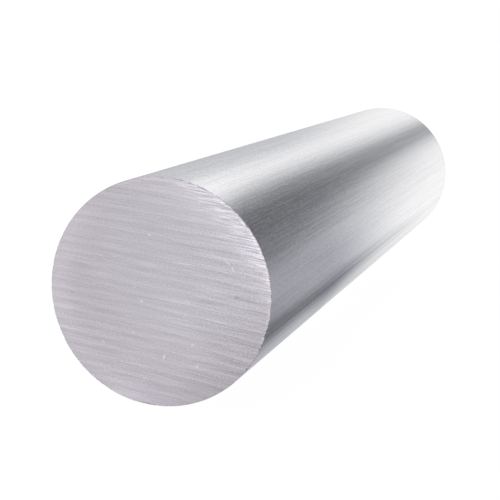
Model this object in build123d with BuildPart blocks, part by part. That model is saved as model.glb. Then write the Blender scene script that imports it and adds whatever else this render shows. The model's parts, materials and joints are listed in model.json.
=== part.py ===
"""Round metal bar: one length of solid round stock, sawn square at both ends.

Millimetres, +Z up. The bar lies on the floor with its axis along Y, and the origin
is on the floor below the middle of its length.
"""

import os

from build123d import *

# Driving dimensions
bar_diameter = 100.0  # stock size, measured over the drawn skin
bar_length = 500.0  # from one sawn face to the other
edge_break = 0.4  # leg of the 45 degree deburr round each sawn face

# Worked out from them
bar_radius = bar_diameter / 2
axis_height = bar_radius  # a bar lying on its side carries its axis one radius up

with BuildPart() as round_bar:
    # The section stands across the middle of the length and is drawn out both ways.
    with BuildSketch(Plane.XZ) as section:
        with Locations((0, axis_height)):
            Circle(bar_radius)
    extrude(amount=bar_length / 2, both=True)

    # The saw leaves a sharp rim round each end, and the rim is filed back.
    sawn_faces = round_bar.faces().filter_by(Axis.Y)
    chamfer(sawn_faces.edges(), length=edge_break)

round_bar.part.label = "round_bar"

os.makedirs("parts", exist_ok=True)
export_step(round_bar.part, "parts/round_bar.step")
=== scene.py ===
"""The looks of a round metal bar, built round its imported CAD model.

The bar's mesh is made again here with what a band saw leaves on it: relief along the saw
lines across both ends, and a nicked rim. The fine lines along its skin are in the skin's
material. Lengths are in metres unless a comment says mm, in the CAD frame: +Z up, and the
bar along Y with its front end at the lower Y.
"""

import json
import math
from collections import namedtuple

import bpy
import numpy as np
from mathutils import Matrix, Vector


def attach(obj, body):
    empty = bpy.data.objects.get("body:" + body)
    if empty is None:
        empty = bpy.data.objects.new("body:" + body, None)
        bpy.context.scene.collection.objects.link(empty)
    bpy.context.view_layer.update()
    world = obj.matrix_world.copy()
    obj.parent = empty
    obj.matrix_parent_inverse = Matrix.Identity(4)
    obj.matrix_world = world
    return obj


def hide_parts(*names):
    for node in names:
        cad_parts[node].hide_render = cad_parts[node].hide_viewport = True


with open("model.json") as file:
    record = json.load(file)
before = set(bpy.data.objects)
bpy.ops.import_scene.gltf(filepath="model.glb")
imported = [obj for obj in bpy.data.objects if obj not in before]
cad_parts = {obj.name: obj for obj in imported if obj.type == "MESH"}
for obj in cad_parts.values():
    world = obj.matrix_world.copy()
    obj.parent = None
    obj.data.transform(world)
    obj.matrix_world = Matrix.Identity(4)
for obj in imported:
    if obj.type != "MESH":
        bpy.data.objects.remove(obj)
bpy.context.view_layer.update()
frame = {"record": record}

# ---- Sizes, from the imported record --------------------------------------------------
NODE = "round_bar"
MM = 0.001
mounts = {m["name"]: m for m in frame["record"]["mounts"]}
BAR_RADIUS = mounts["outside_diameter"]["dims"]["r_mm"] * MM
AXIS_HEIGHT = mounts["outside_diameter"]["pos_m"][2]
FRONT_Y = mounts["front_sawn_face"]["pos_m"][1]
BACK_Y = mounts["back_sawn_face"]["pos_m"][1]

# ---- The mesh -----------------------------------------------------------------------
ROWS = 560  # steps down a sawn end, from one row of points along the saw lines to the next
COLUMNS = 64  # quads along a row
RIM_POINTS = 2 * ROWS  # every row starts and ends on a rim point
RIM_STEP = 2 * math.pi / RIM_POINTS
SKIN_BANDS = 6  # quads along the skin
BEVEL_LENGTH = 1.2  # of the broken edge along the bar, over its width on the end
SHARP_ANGLE = math.radians(30)
SKIN_SLOT, FRONT_SLOT, BACK_SLOT = 0, 1, 2  # the mesh's material slots

End = namedtuple("End", "y inward seed slot tilt_steps")  # tilt: of its rows, in rim steps
FRONT = End(FRONT_Y, inward=1, seed=11, slot=FRONT_SLOT, tilt_steps=27)
BACK = End(BACK_Y, inward=-1, seed=37, slot=BACK_SLOT, tilt_steps=-31)

# Saw marks, in mm
FEED_PITCH = 4.39  # from one feed mark to the next at mid height
FEED_SPREAD = 226.0  # they spread apart above and below, by the square of height over this
FEED_DEPTH = 0.007  # half the height of the wave
FEED_SHARES = (0.75, 0.25)  # of the feed mark's wave, and of the wave twice as fine
FEED_PHASE = (2.53, 0.01)  # of those two waves, in radians
LINE_BOW = 1.28e-4  # how a line bends as it crosses, per mm
LINE_FAN = -4.7e-4  # how lines higher up slope less, per mm
RELIEF = (  # (spacing of the lines, depth) of each size of finer or broader line
    (0.7, 0.0035),
    (1.46, 0.007),
    (11.0, 0.007),
)
RELIEF_PEAK = 1.4  # about the most that a size of line reaches, over its depth
LINE_LENGTH = 45.0  # along which a line turns into another
NICK_LEAST, NICK_MOST = 0.06, 0.55  # width of the broken edge on the end
NICK_SPACING = 1.3
NICK_RARITY = 2.5  # a higher power leaves fewer wide nicks
NICK_FADE = 2.0  # the nicks fade out this far before the circle of the rim closes

# What each random pattern adds to the seed of its end
LINE_SEED, OTHER_LINE_SEED, TURN_SEED, NICK_SEED = 0, 20, 50, 70
WANDER_CELLS = 4096
WANDER_START = 1000.0  # the cell at 0, so that no place falls before the first one


def steps(x):
    """0 to 1 with level ends."""
    return x * x * (3 - 2 * x)


def wander(x, spacing, seed):
    """A smooth random function of x, from -1 to 1, that turns about every spacing."""
    table = np.random.default_rng(seed).uniform(-1, 1, WANDER_CELLS)
    at = np.asarray(x) / spacing + WANDER_START
    cell = np.floor(at).astype(int)
    share = steps(at - cell)
    return table[cell] * (1 - share) + table[cell + 1] * share


def saw_relief(x, z, tilt, seed):
    """How deep the saw cut at (x, z) on a sawn end, in metres from the face's plane."""
    along = (x * math.cos(tilt) - z * math.sin(tilt)) / MM
    across = (x * math.sin(tilt) + z * math.cos(tilt)) / MM
    line = across + LINE_BOW * along**2 + LINE_FAN * along * across
    turn = 2 * math.pi * line / FEED_PITCH * (1 - (line / FEED_SPREAD) ** 2)
    feed = FEED_SHARES[0] * np.cos(turn + FEED_PHASE[0])
    feed = feed + FEED_SHARES[1] * np.cos(2 * turn + FEED_PHASE[1])
    depth = -FEED_DEPTH * feed
    for n, (spacing, height) in enumerate(RELIEF):
        turn = math.pi * wander(along, LINE_LENGTH, seed + TURN_SEED + n)
        here = wander(line, spacing, seed + LINE_SEED + n)
        there = wander(line, spacing, seed + OTHER_LINE_SEED + n)
        depth = depth + height * (here * np.cos(turn) + there * np.sin(turn))
    most = FEED_DEPTH + RELIEF_PEAK * sum(height for _, height in RELIEF)
    return (depth + most) * MM


def edge_break(angle, seed):
    """Width of the broken edge at each rim point: nicks of many sizes, a few of them wide."""
    along_rim = BAR_RADIUS / MM * angle
    wide = (0.5 + 0.5 * wander(along_rim, NICK_SPACING, seed + NICK_SEED)) ** NICK_RARITY
    wide *= steps(along_rim[::-1].clip(0, NICK_FADE) / NICK_FADE)
    return (NICK_LEAST + (NICK_MOST - NICK_LEAST) * wide) * MM


class Build:
    """The points and faces of a mesh, and each face's material slot."""

    def __init__(self):
        self.points, self.faces, self.slots = [], [], []
        self.count = 0

    def add_points(self, block):
        """Add rows of (x, y, z), and give the number of the first one."""
        self.points.append(np.asarray(block, float))
        first = self.count
        self.count += len(block)
        return first

    def add_face(self, corners, slot):
        self.faces.append(tuple(int(corner) for corner in corners))
        self.slots.append(slot)

    def mesh(self, name):
        mesh = bpy.data.meshes.new(name)
        mesh.from_pydata(np.concatenate(self.points).tolist(), [], self.faces)
        mesh.polygons.foreach_set("material_index", self.slots)
        mesh.polygons.foreach_set("use_smooth", [True] * len(mesh.polygons))
        mesh.set_sharp_from_angle(angle=SHARP_ANGLE)
        mesh.update()
        return mesh


def add_sawn_end(build, end, angle, broken):
    """One sawn end, in rows along its saw lines. Gives the numbers of its rim's points."""
    inner = BAR_RADIUS - broken
    rim = np.stack([inner * np.cos(angle), inner * np.sin(angle)], 1)
    top = RIM_POINTS // 4 - end.tilt_steps  # the rim's points start at +X, so a quarter is up
    bottom = (top + ROWS) % RIM_POINTS
    # Points lie closer together towards both ends of a row
    spread = (1 - np.cos(np.linspace(0, math.pi, COLUMNS + 1))) / 2
    rows = []
    for row in range(1, ROWS):
        left, right = rim[(top + row) % RIM_POINTS], rim[(top - row) % RIM_POINTS]
        rows.append(left + (right - left) * spread[:, None])
    # The first and last rows are one rim point each
    flat = np.concatenate([np.stack(rows).reshape(-1, 2), rim[[top, bottom]]])
    depth = saw_relief(flat[:, 0], flat[:, 1], end.tilt_steps * RIM_STEP, end.seed)
    y = end.y + end.inward * depth
    first = build.add_points(np.stack([flat[:, 0], y, flat[:, 1] + AXIS_HEIGHT], 1))
    top_point = first + (ROWS - 1) * (COLUMNS + 1)
    bottom_point = top_point + 1

    def at(row, column):
        return first + (row - 1) * (COLUMNS + 1) + column

    def face(*corners):
        build.add_face(corners if end.inward > 0 else corners[::-1], end.slot)

    for column in range(COLUMNS):
        beside = column + 1
        face(top_point, at(1, column), at(1, beside))
        face(bottom_point, at(ROWS - 1, beside), at(ROWS - 1, column))
        for row in range(1, ROWS - 1):
            face(at(row, column), at(row + 1, column), at(row + 1, beside), at(row, beside))

    ring = np.empty(RIM_POINTS, int)
    ring[top] = top_point
    ring[bottom] = bottom_point
    for row in range(1, ROWS):
        ring[(top + row) % RIM_POINTS] = at(row, 0)
        ring[(top - row) % RIM_POINTS] = at(row, COLUMNS)
    return ring


def bar_mesh(name):
    """The bar as one closed mesh: two sawn ends, their rims, and the skin between."""
    build = Build()
    angle = 2 * math.pi * np.arange(RIM_POINTS) / RIM_POINTS
    front_break = edge_break(angle, FRONT.seed)
    back_break = edge_break(angle, BACK.seed)
    front_ring = add_sawn_end(build, FRONT, angle, front_break)
    back_ring = add_sawn_end(build, BACK, angle, back_break)

    # The skin starts where the broken edges end
    near = FRONT.y + front_break * BEVEL_LENGTH
    far = BACK.y - back_break * BEVEL_LENGTH
    x, z = BAR_RADIUS * np.cos(angle), BAR_RADIUS * np.sin(angle) + AXIS_HEIGHT
    rings = [front_ring]
    for n in range(SKIN_BANDS + 1):
        share = steps(n / SKIN_BANDS)
        y = near * (1 - share) + far * share
        rings.append(build.add_points(np.stack([x, y, z], 1)) + np.arange(RIM_POINTS))
    rings.append(back_ring)
    band_slots = [FRONT_SLOT] + [SKIN_SLOT] * SKIN_BANDS + [BACK_SLOT]
    for this, following, slot in zip(rings, rings[1:], band_slots):
        for j in range(RIM_POINTS):
            k = (j + 1) % RIM_POINTS
            build.add_face((this[j], following[j], following[k], this[k]), slot)
    return build.mesh(name)


# ---- Node helpers -------------------------------------------------------------------
# A smooth ramp: from at_start, where a value is start, to at_end, where it is end
Ramp = namedtuple("Ramp", "start end at_start at_end", defaults=(0.0, 1.0))


def node(tree, kind, settings=None, **inputs):
    """A new node. An input is named, or i0, i1... by its place, and is set to a number or
    a tuple, or linked to a socket."""
    made = tree.nodes.new("ShaderNode" + kind)
    for key, value in (settings or {}).items():
        setattr(made, key, value)
    for key, value in inputs.items():
        by_place = key[0] == "i" and key[1:].isdigit()
        socket = made.inputs[int(key[1:]) if by_place else key.replace("_", " ")]
        if isinstance(value, bpy.types.NodeSocket):
            tree.links.new(value, socket)
        else:
            socket.default_value = value
    return made


def math_node(tree, operation, *values):
    places = {f"i{n}": value for n, value in enumerate(values)}
    return node(tree, "Math", {"operation": operation}, **places).outputs[0]


def times(tree, first, *others):
    """The product of sockets and numbers."""
    for other in others:
        first = math_node(tree, "MULTIPLY", first, other)
    return first


def weighed(tree, *parts):
    """The sum of (weight, value) pairs, where a value is a socket or a number."""
    total = 0.0
    for weight, value in parts:
        if isinstance(value, bpy.types.NodeSocket):
            part = value if weight == 1.0 else math_node(tree, "MULTIPLY", value, weight)
        else:
            part = weight * value
        total = math_node(tree, "ADD", part, total)
    return total


def plus(tree, *values):
    """The sum of sockets and numbers."""
    return weighed(tree, *((1.0, value) for value in values))


def evened(tree, *parts):
    """The sum of (weight, noise) pairs, less what it is on average."""
    average = 0.5 * sum(weight for weight, _ in parts)
    return weighed(tree, *parts, (-1.0, average))


def blend(tree, inside, outside, share):
    """inside where share is 1, outside where it is 0."""
    rest = math_node(tree, "SUBTRACT", 1.0, share)
    return plus(tree, times(tree, inside, share), times(tree, outside, rest))


def power(tree, value, exponent):
    return math_node(tree, "POWER", math_node(tree, "ABSOLUTE", value), exponent)


def distance(tree, a, b):
    """How far (a, b) is from (0, 0)."""
    return math_node(tree, "SQRT", plus(tree, power(tree, a, 2), power(tree, b, 2)))


def away_from(tree, value, middle):
    """How far value is from middle, either way."""
    return math_node(tree, "ABSOLUTE", math_node(tree, "SUBTRACT", value, middle))


def remap(tree, value, ramp):
    made = node(tree, "MapRange", {"interpolation_type": "SMOOTHSTEP"}, Value=value)
    for name, number in zip(("From Min", "From Max", "To Min", "To Max"), ramp):
        made.inputs[name].default_value = number
    return made.outputs["Result"]


def mix_colour(tree, share, a, b):
    """Colour a where share is 0, b where it is 1."""
    made = node(tree, "Mix", {"data_type": "RGBA"})
    for name, value in (("Factor", share), ("A", a), ("B", b)):
        socket = next(s for s in made.inputs if s.name == name and s.enabled)
        if isinstance(value, bpy.types.NodeSocket):
            tree.links.new(value, socket)
        else:
            socket.default_value = (*value, 1.0)
    return next(s for s in made.outputs if s.enabled)


def place(tree):
    """Sockets of the place on an object: its own coordinates as one, and x, y and z."""
    where = node(tree, "TexCoord").outputs["Object"]
    return where, *node(tree, "SeparateXYZ", i0=where).outputs[:3]


def new_material(name):
    material = bpy.data.materials.new(name)
    material.use_nodes = True
    material.node_tree.nodes.clear()
    return material, material.node_tree


# ---- The skin -----------------------------------------------------------------------
SKIN_BRIGHT = (0.960, 0.960, 0.970)
SKIN_DULL = (0.80, 0.801, 0.815)
SKIN_RUBBED = (0.66, 0.668, 0.695)

# Cells of noise per metre, across the bar and along it
FINE_STREAKS = (2400, 25)
SHORT_STREAKS = (1500, 220)
LONG_STREAKS = (1700, 3)
BROAD_STREAKS = (420, 6)
RUBBED_LINES = (900, 4)
STREAK_SHARES = (0.29, 0.40, 0.28, 0.20)  # of the first four

SKIN_CONTRAST = Ramp(FRONT_Y, BACK_Y, 1.7, 1.0)  # of all streaks, by y
LOW_SIDE = Ramp(0.90 * AXIS_HEIGHT, 0.65 * AXIS_HEIGHT)  # by z
LOW_CONTRAST = 1.2  # what the broad streaks gain on the low side
RUBBED = Ramp(0.53, 0.63)  # by noise: from where a thin dark line starts to where it is whole
BACK_RIM_SHADE = Ramp(BACK_Y - 0.008, BACK_Y - 0.003, 0.0, -0.6)  # by y: painted shade, darker near the back end
DULL_TO_BRIGHT = Ramp(-0.15, 0.15)  # by streaks
SKIN_ROUGHNESS = Ramp(-0.2, 0.2, 0.222, 0.248)  # by streaks
SKIN_ANISOTROPY = 0.96
SKIN_BUMP = 0.05
BUMP_DISTANCE = 0.0002


def streaks(tree, where, across, along):
    """Noise drawn out along the bar."""
    sized = node(tree, "Mapping", Vector=where, Scale=(across, along, across)).outputs[0]
    return node(tree, "TexNoise", Vector=sized, Scale=1.0, Detail=1.0).outputs["Fac"]


def skin_material():
    """Drawn skin: bright, with lines along the bar that spread its reflections round it."""
    material, tree = new_material("drawn_skin")
    where, _, y, z = place(tree)
    sizes = (FINE_STREAKS, SHORT_STREAKS, LONG_STREAKS, BROAD_STREAKS)
    noises = [streaks(tree, where, *size) for size in sizes]
    pattern = evened(tree, *zip(STREAK_SHARES, noises))
    # Low on the sides the broad streaks are stronger, and thin dark lines are added
    low_side = remap(tree, z, LOW_SIDE)
    low_lines = times(tree, evened(tree, (LOW_CONTRAST, noises[-1])), low_side)
    lines = plus(tree, times(tree, pattern, remap(tree, y, SKIN_CONTRAST)), low_lines)
    rubbed = remap(tree, streaks(tree, where, *RUBBED_LINES), RUBBED)
    # The brightness takes the painted shade along the back rim
    brightness = plus(tree, remap(tree, lines, DULL_TO_BRIGHT), remap(tree, y, BACK_RIM_SHADE))
    colour = mix_colour(tree, brightness, SKIN_DULL, SKIN_BRIGHT)
    colour = mix_colour(tree, times(tree, rubbed, low_side), colour, SKIN_RUBBED)
    bump = node(tree, "Bump", Height=pattern, Strength=SKIN_BUMP, Distance=BUMP_DISTANCE)
    tangent = node(tree, "Tangent", {"direction_type": "RADIAL", "axis": "Y"})
    shader = node(
        tree,
        "BsdfPrincipled",
        Base_Color=colour,
        Metallic=1.0,
        Roughness=remap(tree, lines, SKIN_ROUGHNESS),
        Anisotropic=SKIN_ANISOTROPY,
        Normal=bump.outputs[0],
        Tangent=tangent.outputs[0],
    )
    node(tree, "OutputMaterial", Surface=shader.outputs[0])
    return material


# ---- The sawn ends ------------------------------------------------------------------
END_LILAC = (0.588, 0.551, 0.595)
END_GREY = (0.579, 0.563, 0.604)
GREY_MIDDLE = (12.0, 15.0)  # of the greyer area, mm right and up
GREY_EDGE = Ramp(42.0, 68.0, 1.0, 0.0)  # by the distance from there, mm
MOTTLE_REACH = 40.0  # how far the mottle moves that edge, mm

# Noise in lines: their length and spacing, in mm
Lines = namedtuple("Lines", "length spacing seed detail", defaults=(1.0,))
FINE_LINES = Lines(16.0, 0.6, seed=1.0)
GRAIN = Lines(0.9, 0.5, seed=2.0)
LONG_LINES = Lines(60.0, 0.7, seed=3.0)
TORN_LINES = Lines(9.0, 0.6, seed=4.0)
EDGE_LINES = Lines(60.0, 0.8, seed=5.0)
MOTTLE = Lines(16.0, 10.0, seed=6.0, detail=2.0)
LINE_SHARES = (0.38, 0.46, 0.16)  # of fine lines, grain and long lines
FEED_GAIN = 0.043  # how much brighter a feed mark is
LINE_GAIN = 0.76  # the same, for the lines and grain
MARK_CONTRAST = Ramp(0.0, 45.0, 1.0, 1.6)  # of all these, by mm to the right
LOWER_LEFT_CONTRAST = 0.45  # added to it at the lower left
END_ROUGHNESS = Ramp(-0.2, 0.2, 0.56, 0.50)  # by lines
END_BUMP = 0.25

# An area of a sawn end grows from 0 to 1 between two distances from the middle, in mm,
# along a direction (right, up)
Area = namedtuple("Area", "right up start full")
UPPER_RIGHT = Area(0.55, 0.83, 24.0, 44.0)
LOWER_LEFT = Area(-0.60, -0.80, 20.0, 45.0)
BOTTOM = Area(0.0, -1.0, 41.0, 48.5)
RIGHT = Area(1.0, 0.0, 5.0, 40.0)
LOW = Area(0.0, -1.0, -10.0, 30.0)
LEFT = Area(-1.0, -0.4, 5.0, 35.0)
SAW_EXIT = Area(0.77, 0.64, 30.0, 47.0)  # SAW_EXIT = Area(0.77, 0.64, 30.0, 47.0) # where the saw left the metal, brightened there by painted highlight
NEAR_EXIT = Area(0.77, 0.64, 8.0, 34.0)
# The same, by radius in mm
EXIT_RADIUS = Ramp(34.0, 49.0)
LEFT_RADIUS = Ramp(36.0, 48.0)
# The painted highlight on the rim lies between the next two radii
EDGE_INSIDE = Ramp(48.3, 48.9)
EDGE_OUTSIDE = Ramp(49.4, 49.9, 1.0, 0.0)
# By noise: how much of an area gets bright streaks: at the saw's exit, tearing with painted
# highlight on it, and on the edge, the breaks in its painted highlight
EXIT_STREAKS_AND_HIGHLIGHT = Ramp(0.42, 0.62)
EDGE_HIGHLIGHT_BREAKS = Ramp(0.45, 0.65)

# How much brighter or darker each is: painted light and painted shade, except that the exit
# streaks are saw texture with painted highlight on them
UPPER_RIGHT_PAINTED_LIGHT = 0.09
LOWER_LEFT_PAINTED_LIGHT = 0.075
BOTTOM_PAINTED_LIGHT = 0.09
LOW_RIGHT_PAINTED_SHADE = -0.14
LEFT_PAINTED_LIGHT = 0.12
EXIT_PAINTED_LIGHT = 0.02
EXIT_STREAKS_AND_HIGHLIGHT_GAIN = 0.40
EDGE_HIGHLIGHT_GAIN = 0.28

# Small marks on the front end. Right and up say where the middle is, in mm; half_length
# and half_width are in mm, and the slope is in degrees.
Fleck = namedtuple("Fleck", "right up half_length half_width slope gain")
FLECKS = (
    Fleck(-4.0, 25.0, 1.0, 0.8, 0, 0.18),
    Fleck(-8.0, -4.0, 0.8, 0.7, 0, 0.25),
    Fleck(-11.0, 2.0, 0.7, 0.6, 0, 0.17),
    Fleck(-20.0, 15.0, 0.7, 0.7, 0, 0.15),
    Fleck(-12.0, -18.0, 0.8, 0.6, 0, 0.14),
    Fleck(-7.0, -38.0, 0.8, 0.6, 0, 0.17),
    Fleck(2.0, -28.0, 1.5, 0.5, 84, 0.30),
    Fleck(17.0, -31.0, 1.2, 0.5, 84, 0.28),
    Fleck(15.0, -22.0, 1.2, 0.6, 84, 0.14),
    Fleck(-26.0, -23.0, 1.3, 0.5, -55, 0.22),
    Fleck(31.0, 14.5, 1.7, 0.45, -50, 0.24),
    Fleck(33.0, 12.0, 1.6, 0.45, -60, 0.26),
    Fleck(12.0, 13.2, 7.0, 0.35, -5, 0.16),
    Fleck(13.0, -3.0, 1.3, 0.6, -20, 0.12),
    Fleck(-25.0, -36.0, 1.5, 0.5, -20, 0.12),
    Fleck(35.0, 0.0, 1.6, 0.7, 8, -0.16),
    Fleck(-40.0, -2.0, 0.9, 0.5, 0, -0.16),
)
FLECK_EDGE = Ramp(0.1, 1.0, 1.0, 0.0)  # by the square of the distance over its half size


def end_fields(tree, tilt):
    """Sockets in mm on a sawn end: right, up, along a saw line, and which line."""
    _, x, _, z = place(tree)
    right = math_node(tree, "DIVIDE", x, MM)
    up = math_node(tree, "DIVIDE", math_node(tree, "SUBTRACT", z, AXIS_HEIGHT), MM)
    along = weighed(tree, (math.cos(tilt), right), (-math.sin(tilt), up))
    across = weighed(tree, (math.sin(tilt), right), (math.cos(tilt), up))
    bow = times(tree, along, along)
    fan = times(tree, along, across)
    line = weighed(tree, (1.0, across), (LINE_BOW, bow), (LINE_FAN, fan))
    return right, up, along, line


def feed_marks(tree, line):
    """The wave of the feed marks, as saw_relief has it."""
    squeeze = weighed(tree, (-1 / FEED_SPREAD**2, power(tree, line, 2)), (1.0, 1.0))
    turn = times(tree, line, 2 * math.pi / FEED_PITCH, squeeze)
    first = math_node(tree, "COSINE", plus(tree, turn, FEED_PHASE[0]))
    second = math_node(tree, "COSINE", weighed(tree, (2.0, turn), (1.0, FEED_PHASE[1])))
    return weighed(tree, *zip(FEED_SHARES, (first, second)))


def line_noise(tree, along, line, lines):
    """Noise drawn out along the saw lines."""
    where = node(
        tree,
        "CombineXYZ",
        i0=math_node(tree, "DIVIDE", along, lines.length),
        i1=math_node(tree, "DIVIDE", line, lines.spacing),
        i2=lines.seed,
    ).outputs[0]
    return node(tree, "TexNoise", Vector=where, Scale=1.0, Detail=lines.detail).outputs["Fac"]


def in_area(tree, right, up, area):
    reach = weighed(tree, (area.right, right), (area.up, up))
    return remap(tree, reach, Ramp(area.start, area.full))


def fleck_shade(tree, right, up, fleck):
    """1 on a small mark, fading to 0 at its edge."""
    cos, sin = math.cos(math.radians(fleck.slope)), math.sin(math.radians(fleck.slope))
    near = math_node(tree, "SUBTRACT", right, fleck.right)
    over = math_node(tree, "SUBTRACT", up, fleck.up)
    along = weighed(tree, (cos / fleck.half_length, near), (sin / fleck.half_length, over))
    across = weighed(tree, (-sin / fleck.half_width, near), (cos / fleck.half_width, over))
    far = plus(tree, power(tree, along, 2), power(tree, across, 2))
    return remap(tree, far, FLECK_EDGE)


def end_material(name, tilt, flecks):
    """Band-sawn end: matt lilac grey, with feed marks, fine saw lines and a soft mottle, and
    painted light and painted shade by area.
    """
    material, tree = new_material(name)
    right, up, along, line = end_fields(tree, tilt)
    radius = distance(tree, right, up)

    def noise(lines):
        return line_noise(tree, along, line, lines)

    def area(which):
        return in_area(tree, right, up, which)

    # Saw marks stand out more towards the right and at the lower left
    lower_left = area(LOWER_LEFT)
    sizes = (FINE_LINES, GRAIN, LONG_LINES)
    lines = evened(tree, *zip(LINE_SHARES, (noise(size) for size in sizes)))
    marks = weighed(tree, (FEED_GAIN, feed_marks(tree, line)), (LINE_GAIN, lines))
    contrast = remap(tree, right, MARK_CONTRAST)
    contrast = weighed(tree, (1.0, contrast), (LOWER_LEFT_CONTRAST, lower_left))

    # Where the saw left the metal, at the upper right, it tore streaks, which are brightened
    # with painted highlight; the edge there takes a painted highlight
    at_exit = times(tree, area(SAW_EXIT), remap(tree, radius, EXIT_RADIUS))
    exit_streaks_and_highlight = times(tree, at_exit, remap(tree, noise(TORN_LINES), EXIT_STREAKS_AND_HIGHLIGHT))
    # A thin ring at the rim near the exit, broken by noise: painted highlight
    edge = times(tree, remap(tree, radius, EDGE_INSIDE), remap(tree, radius, EDGE_OUTSIDE))
    edge_highlight_breaks = remap(tree, noise(EDGE_LINES), EDGE_HIGHLIGHT_BREAKS)
    edge = times(tree, edge, edge_highlight_breaks, area(NEAR_EXIT))

    # Painted light and painted shade by area, the exit streaks with their painted highlight,
    # and the painted highlight on the edge
    parts = [
        (1.0, 1.0),
        (1.0, times(tree, marks, contrast)),
        (EXIT_PAINTED_LIGHT, at_exit),
        (EXIT_STREAKS_AND_HIGHLIGHT_GAIN, exit_streaks_and_highlight),
        (EDGE_HIGHLIGHT_GAIN, edge),
        (UPPER_RIGHT_PAINTED_LIGHT, area(UPPER_RIGHT)),
        (LOWER_LEFT_PAINTED_LIGHT, lower_left),
        (BOTTOM_PAINTED_LIGHT, area(BOTTOM)),
        (LOW_RIGHT_PAINTED_SHADE, times(tree, area(RIGHT), area(LOW))),
        (LEFT_PAINTED_LIGHT, times(tree, area(LEFT), remap(tree, radius, LEFT_RADIUS))),
    ]
    if flecks:
        parts += [(fleck.gain, fleck_shade(tree, right, up, fleck)) for fleck in FLECKS]
    shade = weighed(tree, *parts)

    off_right = math_node(tree, "SUBTRACT", right, GREY_MIDDLE[0])
    off_up = math_node(tree, "SUBTRACT", up, GREY_MIDDLE[1])
    off_middle = distance(tree, off_right, off_up)
    off_middle = weighed(tree, (1.0, off_middle), (MOTTLE_REACH, noise(MOTTLE)))
    tint = mix_colour(tree, remap(tree, off_middle, GREY_EDGE), END_LILAC, END_GREY)
    shaded = node(tree, "VectorMath", {"operation": "SCALE"}, i0=tint, Scale=shade)
    bump = node(tree, "Bump", Height=lines, Strength=END_BUMP, Distance=BUMP_DISTANCE)
    shader = node(
        tree,
        "BsdfPrincipled",
        Base_Color=shaded.outputs[0],
        Metallic=1.0,
        Roughness=remap(tree, lines, END_ROUGHNESS),
        Normal=bump.outputs[0],
    )
    node(tree, "OutputMaterial", Surface=shader.outputs[0])
    return material


# ---- Camera -------------------------------------------------------------------------
# It looks down the bar from its front right, close enough for strong perspective. Its
# place is in bar diameters from the middle of the front end.
CAMERA_RIGHT = 1.962
CAMERA_AHEAD = 5.260
CAMERA_ABOVE = 1.1244
LOOK = Vector((-0.2797, 0.9458, -0.1652))
LENS, SENSOR = 96.13, 36.0  # mm
CLIP_START, CLIP_END = 0.01, 50.0


def make_camera():
    camera = bpy.data.objects.new("camera", bpy.data.cameras.new("camera"))
    bpy.context.scene.collection.objects.link(camera)
    diameter = 2 * BAR_RADIUS
    camera.location = (
        CAMERA_RIGHT * diameter,
        FRONT_Y - CAMERA_AHEAD * diameter,
        AXIS_HEIGHT + CAMERA_ABOVE * diameter,
    )
    camera.rotation_mode = "QUATERNION"
    camera.rotation_quaternion = LOOK.to_track_quat("-Z", "Y")
    camera.data.lens = LENS
    camera.data.sensor_width = SENSOR
    camera.data.clip_start = CLIP_START
    camera.data.clip_end = CLIP_END
    bpy.context.scene.camera = camera


# ---- Light --------------------------------------------------------------------------
# The studio is a pattern of directions: psi round the bar's axis, in degrees from +X
# towards +Z, and theta off the axis, in degrees from straight behind. Levels are
# brightness, and 1 is white.
WHITE = (1.0, 1.0, 1.0)
COOL = (0.955, 0.974, 1.066)  # tint of what is dim
STUDIO_WHITE = Ramp(0.25, 0.95)  # by level: how far the tint has gone

# A soft box in a strip along the bar: level within half of psi, and none past fade more
SoftBox = namedtuple("SoftBox", "psi half fade level")
OVERHEAD_BOX = SoftBox(108.5, 1, 39.6, 0.984)
LEFT_BOX = SoftBox(184.3, 43, 8, 0.457)
LOW_BOX = SoftBox(18, 6, 16, 0.075)
GLINT_BOX = SoftBox(87, 1, 32, 1.0)
GLINT = Ramp(18.3, 19.5, 0.0, 0.42)  # its level, by theta
BETWEEN_BOXES = 0.112

# The white sweep behind the bar, with a dark seam along it
SWEEP_LEVEL = 0.98
LOW_SWEEP_BOX = SoftBox(5, 20, 25, 0.06)
SEAM_PSI = Ramp(9.9, 12.5, 64.5, 58.5)  # by theta, as are the next two
SEAM_HALF = Ramp(9.9, 12.5, 7.25, 13.3)
BESIDE_SEAM = Ramp(10.8, 12.2, 0.0, -0.2)
SEAM_FADE = 19.7
SEAM_LEVEL = -0.738
BESIDE_SEAM_BOX = SoftBox(28, 5, 14, 1.0)

# The plain room round the rest, with a soft box straight ahead of the front end
ROOM_OVERHEAD, ROOM_LEFT = 0.55, 0.5  # what is left there of the two boxes
ROOM_LEVEL = 0.36
AHEAD_LEVEL = 1.20

# By theta: where the sweep, the room and the box ahead take over
IN_SWEEP = Ramp(10.7, 16.2, 1.0, 0.0)
IN_ROOM = Ramp(24.0, 50.0)
AHEAD = Ramp(118.0, 150.0)


def in_strip(tree, psi, middle, half, fade):
    """1 within half degrees of middle round the bar's axis, 0 past fade more."""
    off = math_node(tree, "SUBTRACT", psi, middle)
    wrapped = math_node(tree, "WRAP", off, 180.0, -180.0)
    past = math_node(tree, "SUBTRACT", math_node(tree, "ABSOLUTE", wrapped), half)
    return remap(tree, past, Ramp(0.0, fade, 1.0, 0.0))


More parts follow.
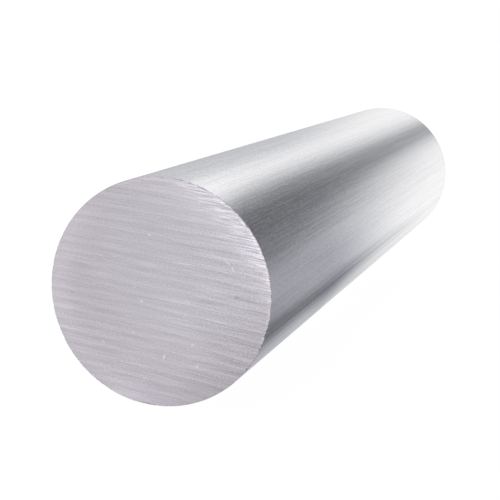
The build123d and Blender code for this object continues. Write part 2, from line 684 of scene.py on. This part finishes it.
def make_world():
    """A studio round the bar: soft boxes in strips along it and a white sweep behind it."""
    world = bpy.data.worlds.new("studio")
    bpy.context.scene.world = world
    world.use_nodes = True
    tree = world.node_tree
    tree.nodes.clear()
    direction = node(tree, "TexCoord").outputs["Generated"]
    x, y, z = node(tree, "SeparateXYZ", i0=direction).outputs[:3]
    to_degrees = 180 / math.pi
    psi = times(tree, math_node(tree, "ARCTAN2", z, x), to_degrees)
    theta = times(tree, math_node(tree, "ARCCOSINE", y), to_degrees)

    def soft_box(box):
        inside = in_strip(tree, psi, box.psi, box.half, box.fade)
        return times(tree, inside, box.level)

    # To the camera the skin shows the strips near its front end, and then the sweep
    overhead, left = soft_box(OVERHEAD_BOX), soft_box(LEFT_BOX)
    glint = times(tree, soft_box(GLINT_BOX), remap(tree, theta, GLINT))
    strips = plus(tree, overhead, left, glint, soft_box(LOW_BOX), BETWEEN_BOXES)
    seam_psi, seam_half = remap(tree, theta, SEAM_PSI), remap(tree, theta, SEAM_HALF)
    seam = times(tree, in_strip(tree, psi, seam_psi, seam_half, SEAM_FADE), SEAM_LEVEL)
    beside_seam = times(tree, soft_box(BESIDE_SEAM_BOX), remap(tree, theta, BESIDE_SEAM))
    sweep = plus(tree, seam, beside_seam, soft_box(LOW_SWEEP_BOX), SWEEP_LEVEL)
    near_axis = blend(tree, sweep, strips, remap(tree, theta, IN_SWEEP))

    room = weighed(tree, (ROOM_OVERHEAD, overhead), (ROOM_LEFT, left), (1.0, ROOM_LEVEL))
    room = blend(tree, AHEAD_LEVEL, room, remap(tree, theta, AHEAD))
    level = blend(tree, room, near_axis, remap(tree, theta, IN_ROOM))

    to_camera = node(tree, "LightPath").outputs["Is Camera Ray"]
    strength = blend(tree, 1.0, level, to_camera)
    colour = mix_colour(tree, remap(tree, strength, STUDIO_WHITE), COOL, WHITE)
    shader = node(tree, "Background", Color=colour, Strength=strength)
    node(tree, "OutputWorld", Surface=shader.outputs[0])


# ---- Floor --------------------------------------------------------------------------
FLOOR_HALF = 12.0
FLOOR_DROP = 2e-5  # keeps the floor from sharing a plane with the bar's lowest line
FLOOR_PALE = (0.8, 0.8, 0.8, 1.0)
FLOOR_GLOW = 1.10
GLOW_TO_CAMERA = 0.87  # share of the glow in what the camera sees; the rest takes shadow

# What the metal shows of the floor: a glow, for reflected rays only, with painted light and
# painted shadow.
# It depends on y along the bar, on the distance aside from its middle line, and on the
# bearing from a point under the bar. Levels are brightness, and 1 is white.
WEDGE_TIP_Y = -0.151  # that point: a white wedge opens from it towards the back
IN_WEDGE = Ramp(math.radians(8.7), math.radians(21.4), 1.0, 0.0)  # by bearing
GREY = Ramp(-0.25, 0.05, 0.185, 0.403)  # outside the wedge, by y
FRONT_PART = Ramp(-0.10, 0.39, 1.0, 0.0)  # by y

# A painted shadow line on each side of the bar scales what is there
DARK_LINE_ASIDE = 0.0568
DARK_LINE = Ramp(0.0, 0.0129, 1.0, 0.0)  # by the distance from its middle
DARK_LINE_IN_FRONT, DARK_LINE_LEVEL = -0.806, -0.081  # in the front part, and throughout

# Painted lighter and darker places are added
UNDER_BAR = Ramp(0.0356, 0.0572, 1.0, 0.0)  # by aside, in the front part
UNDER_BAR_LEVEL = Ramp(-0.11, 0.0639, 0.345, -0.264)  # by y
BENEATH = Ramp(0.030, 0.048, 0.06, 0.0)  # by aside
PALE_LINE_ASIDE = 0.083
PALE_LINE = Ramp(0.0, 0.016, 0.14, 0.0)  # by the distance from its middle
PALE_LINE_START = Ramp(-0.20, -0.02, 0.5, 1.0)  # by y
PALE_LINE_END = Ramp(0.09, 0.15, 1.0, 0.0)  # by y
IN_FRONT = Ramp(-0.235, -0.34, 0.0, 0.76)  # by y
BESIDE_BEARING = Ramp(math.radians(40), math.radians(75))
BESIDE_ASIDE = Ramp(0.10, 0.20)
BESIDE = Ramp(-0.34, -0.24, 0.0, 0.32)  # by y
FLOOR_WHITE = Ramp(0.3, 1.0)  # by level: how far the tint has gone


def painted_floor_glow(tree):
    """How bright the floor glows in the metal: painted light and painted shadow."""
    _, x, y, _ = place(tree)
    aside = math_node(tree, "ABSOLUTE", x)
    bearing = math_node(tree, "ARCTAN2", aside, math_node(tree, "SUBTRACT", y, WEDGE_TIP_Y))
    wedge = blend(tree, 1.0, remap(tree, y, GREY), remap(tree, bearing, IN_WEDGE))
    front_part = remap(tree, y, FRONT_PART)

    on_line = remap(tree, away_from(tree, aside, DARK_LINE_ASIDE), DARK_LINE)
    depth = weighed(tree, (DARK_LINE_IN_FRONT, front_part), (1.0, DARK_LINE_LEVEL))
    dark_line = plus(tree, times(tree, on_line, depth), 1.0)

    under = times(tree, remap(tree, aside, UNDER_BAR), front_part)
    under = times(tree, under, remap(tree, y, UNDER_BAR_LEVEL))
    pale_line = remap(tree, away_from(tree, aside, PALE_LINE_ASIDE), PALE_LINE)
    for ends in (PALE_LINE_START, PALE_LINE_END):
        pale_line = times(tree, pale_line, remap(tree, y, ends))
    beside = times(tree, remap(tree, bearing, BESIDE_BEARING), remap(tree, aside, BESIDE_ASIDE))
    beside = times(tree, beside, remap(tree, y, BESIDE))
    return plus(
        tree,
        times(tree, wedge, dark_line),
        under,
        remap(tree, aside, BENEATH),
        pale_line,
        remap(tree, y, IN_FRONT),
        beside,
    )


def make_floor():
    """White to the camera but for the bar's shadow; to reflected rays it glows with painted
    light and painted shadow.
    """
    half = FLOOR_HALF
    corners = [(-half, -half, 0), (half, -half, 0), (half, half, 0), (-half, half, 0)]
    mesh = bpy.data.meshes.new("floor")
    mesh.from_pydata(corners, [], [(0, 1, 2, 3)])
    floor = bpy.data.objects.new("floor", mesh)
    floor.location = (0, 0, -FLOOR_DROP)
    bpy.context.scene.collection.objects.link(floor)

    material, tree = new_material("white_floor")
    path = node(tree, "LightPath").outputs
    pale = node(tree, "BsdfDiffuse", Color=FLOOR_PALE).outputs[0]
    glow = node(tree, "Emission", Strength=FLOOR_GLOW).outputs[0]
    to_camera = node(tree, "MixShader", i0=GLOW_TO_CAMERA, i1=pale, i2=glow).outputs[0]
    level = painted_floor_glow(tree)
    colour = mix_colour(tree, remap(tree, level, FLOOR_WHITE), COOL, WHITE)
    in_metal = node(tree, "Emission", Color=colour, Strength=level).outputs[0]
    rest = node(tree, "MixShader", i0=path["Is Glossy Ray"], i1=pale, i2=in_metal).outputs[0]
    shader = node(tree, "MixShader", i0=path["Is Camera Ray"], i1=rest, i2=to_camera)
    node(tree, "OutputMaterial", Surface=shader.outputs[0])
    mesh.materials.append(material)


# ---- The scene ----------------------------------------------------------------------
make_camera()
make_world()
make_floor()

bar = bpy.data.objects.new("sawn_round_bar", bar_mesh("sawn_round_bar"))
bpy.context.scene.collection.objects.link(bar)
front_end = end_material("sawn_front_end", FRONT.tilt_steps * RIM_STEP, flecks=True)
back_end = end_material("sawn_back_end", BACK.tilt_steps * RIM_STEP, flecks=False)
for material in (skin_material(), front_end, back_end):
    bar.data.materials.append(material)
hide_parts(NODE)
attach(bar, "root")

bpy.context.scene.view_settings.view_transform = "Standard"
